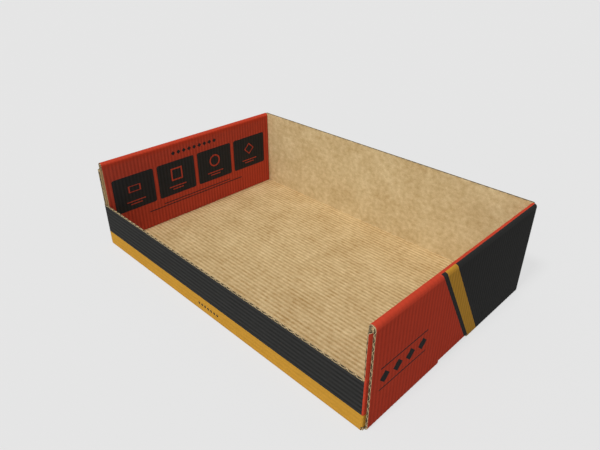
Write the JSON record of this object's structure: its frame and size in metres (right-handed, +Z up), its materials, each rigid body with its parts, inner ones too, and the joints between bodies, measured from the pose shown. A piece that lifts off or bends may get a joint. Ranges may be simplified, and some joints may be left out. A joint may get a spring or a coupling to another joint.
{
  "type": "display tray",
  "caption": "Open corrugated-board display tray with a low front wall, a tall back wall and double side walls that roll over and lock into the base.",
  "frame": {"origin": "under the middle of the base, on the surface that the tray stands on", "axes": "+X to the right along the front wall, +Y from the front wall to the back wall, +Z up"},
  "size_m": [0.56, 0.364, 0.148],
  "materials": {
    "board": "matte kraft liner, printed on the outside in charcoal, red and ochre"
  },
  "bodies": {
    "root": {"tray": "board"}
  },
  "joints": []
}
